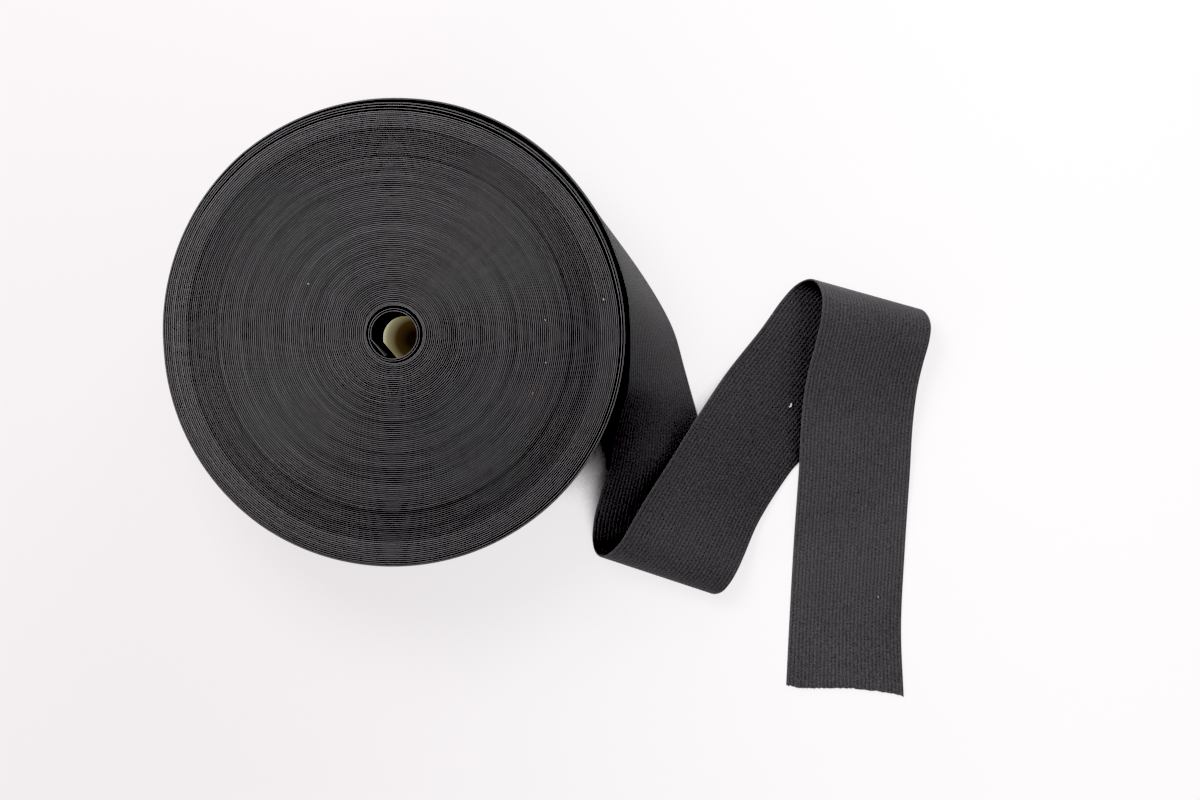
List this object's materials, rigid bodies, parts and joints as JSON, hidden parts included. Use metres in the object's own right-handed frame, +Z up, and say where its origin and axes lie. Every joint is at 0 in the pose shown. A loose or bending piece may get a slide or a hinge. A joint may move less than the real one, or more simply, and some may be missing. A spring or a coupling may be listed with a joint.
{
  "type": "roll of elastic",
  "caption": "Wide flat black ribbed elastic tape wound on itself without a core, with a hole through its middle and a loose end folded back and forth beside it.",
  "frame": {"origin": "on the surface that the roll lies on, under the middle of the whole part's box", "axes": "+Z up along the roll's axis, +X from the roll towards the loose end, +Y towards the side where the loose end leaves the roll"},
  "size_m": [0.3974, 0.3122, 0.06],
  "materials": {
    "elastic": "matte ribbed knit"
  },
  "bodies": {
    "root": {"wound_roll": "elastic", "loose_end": "elastic"}
  },
  "joints": []
}
